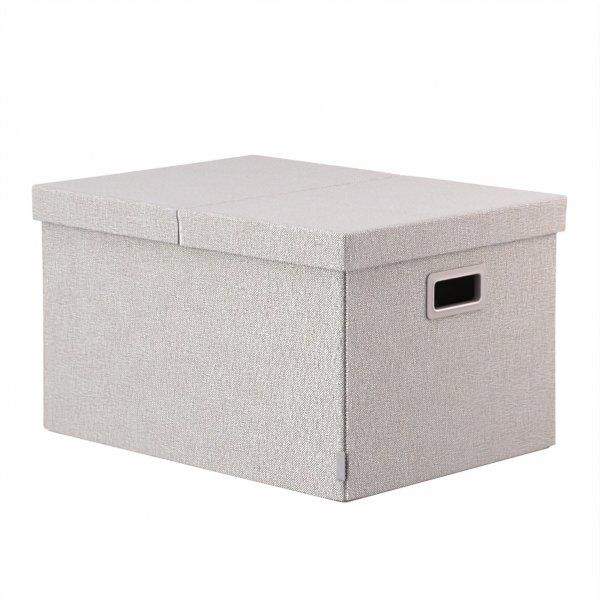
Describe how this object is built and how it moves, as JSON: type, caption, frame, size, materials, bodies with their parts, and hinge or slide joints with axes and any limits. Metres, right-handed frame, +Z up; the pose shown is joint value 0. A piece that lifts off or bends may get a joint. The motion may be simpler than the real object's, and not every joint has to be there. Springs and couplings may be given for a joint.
{
  "type": "collapsible fabric storage box with lid",
  "caption": "Rectangular storage box of fabric over chipboard, with an overlapping lid that folds in half, a handle slot in each end and a loose folding base board.",
  "frame": {"origin": "on the floor under the middle of the box", "axes": "+X along the length, the front wall faces -Y, +Z up"},
  "size_m": [0.5166, 0.3766, 0.3],
  "materials": {
    "cover_fabric": "warm light grey linen-look plain weave",
    "lining_fabric": "light grey non-woven lining",
    "chipboard": "grey-brown chipboard, inside the pockets",
    "handle_plastic": "moulded, satin",
    "tag_ribbon": "blank satin ribbon"
  },
  "bodies": {
    "box": {"front_cover": "cover_fabric", "back_cover": "cover_fabric", "left_end_cover": "cover_fabric", "right_end_cover": "cover_fabric", "front_board_left": "chipboard", "front_board_right": "chipboard", "back_board_left": "chipboard", "back_board_right": "chipboard", "left_end_board": "chipboard", "right_end_board": "chipboard", "front_lining": "lining_fabric", "back_lining": "lining_fabric", "left_end_lining": "lining_fabric", "right_end_lining": "lining_fabric", "corner_seam_front_left": "cover_fabric", "corner_seam_front_right": "cover_fabric", "corner_seam_back_left": "cover_fabric", "corner_seam_back_right": "cover_fabric", "bottom_cover": "cover_fabric", "bottom_lining": "lining_fabric", "left_handle_bezel": "handle_plastic", "right_handle_bezel": "handle_plastic", "left_handle_backing": "handle_plastic", "right_handle_backing": "handle_plastic", "seam_tag": "tag_ribbon"},
    "base_left": {"base_board_left": "chipboard", "base_cover_left": "lining_fabric"},
    "base_right": {"base_board_right": "chipboard", "base_cover_right": "lining_fabric"},
    "lid_spine": {"lid_hinge_strip": "cover_fabric", "lid_hinge_tape": "lining_fabric"},
    "lid_left": {"lid_left_cover": "cover_fabric", "lid_left_lining": "lining_fabric", "lid_left_top_board": "chipboard", "lid_left_front_rim_board": "chipboard", "lid_left_back_rim_board": "chipboard", "lid_left_end_rim_board": "chipboard"},
    "lid_right": {"lid_right_cover": "cover_fabric", "lid_right_lining": "lining_fabric", "lid_right_top_board": "chipboard", "lid_right_front_rim_board": "chipboard", "lid_right_back_rim_board": "chipboard", "lid_right_end_rim_board": "chipboard"}
  },
  "joints": [
    {"name": "lid_lift", "type": "slide", "parent": "box", "child": "lid_spine", "axis": [0, 0, 1], "range_m": [0, 0.2]},
    {"name": "lid_left_fold", "type": "hinge", "parent": "lid_spine", "child": "lid_left", "pos_m": [-0.002, 0, 0.3], "axis": [0, 1, 0], "range_deg": [0, 90]},
    {"name": "lid_right_fold", "type": "hinge", "parent": "lid_spine", "child": "lid_right", "pos_m": [0.002, 0, 0.3], "axis": [0, -1, 0], "range_deg": [0, 90]},
    {"name": "base_board_lift", "type": "slide", "parent": "box", "child": "base_left", "axis": [0, 0, 1], "range_m": [0, 0.28]},
    {"name": "base_board_fold", "type": "hinge", "parent": "base_left", "child": "base_right", "pos_m": [0, 0, 0.0065], "axis": [0, -1, 0], "range_deg": [0, 180]}
  ]
}
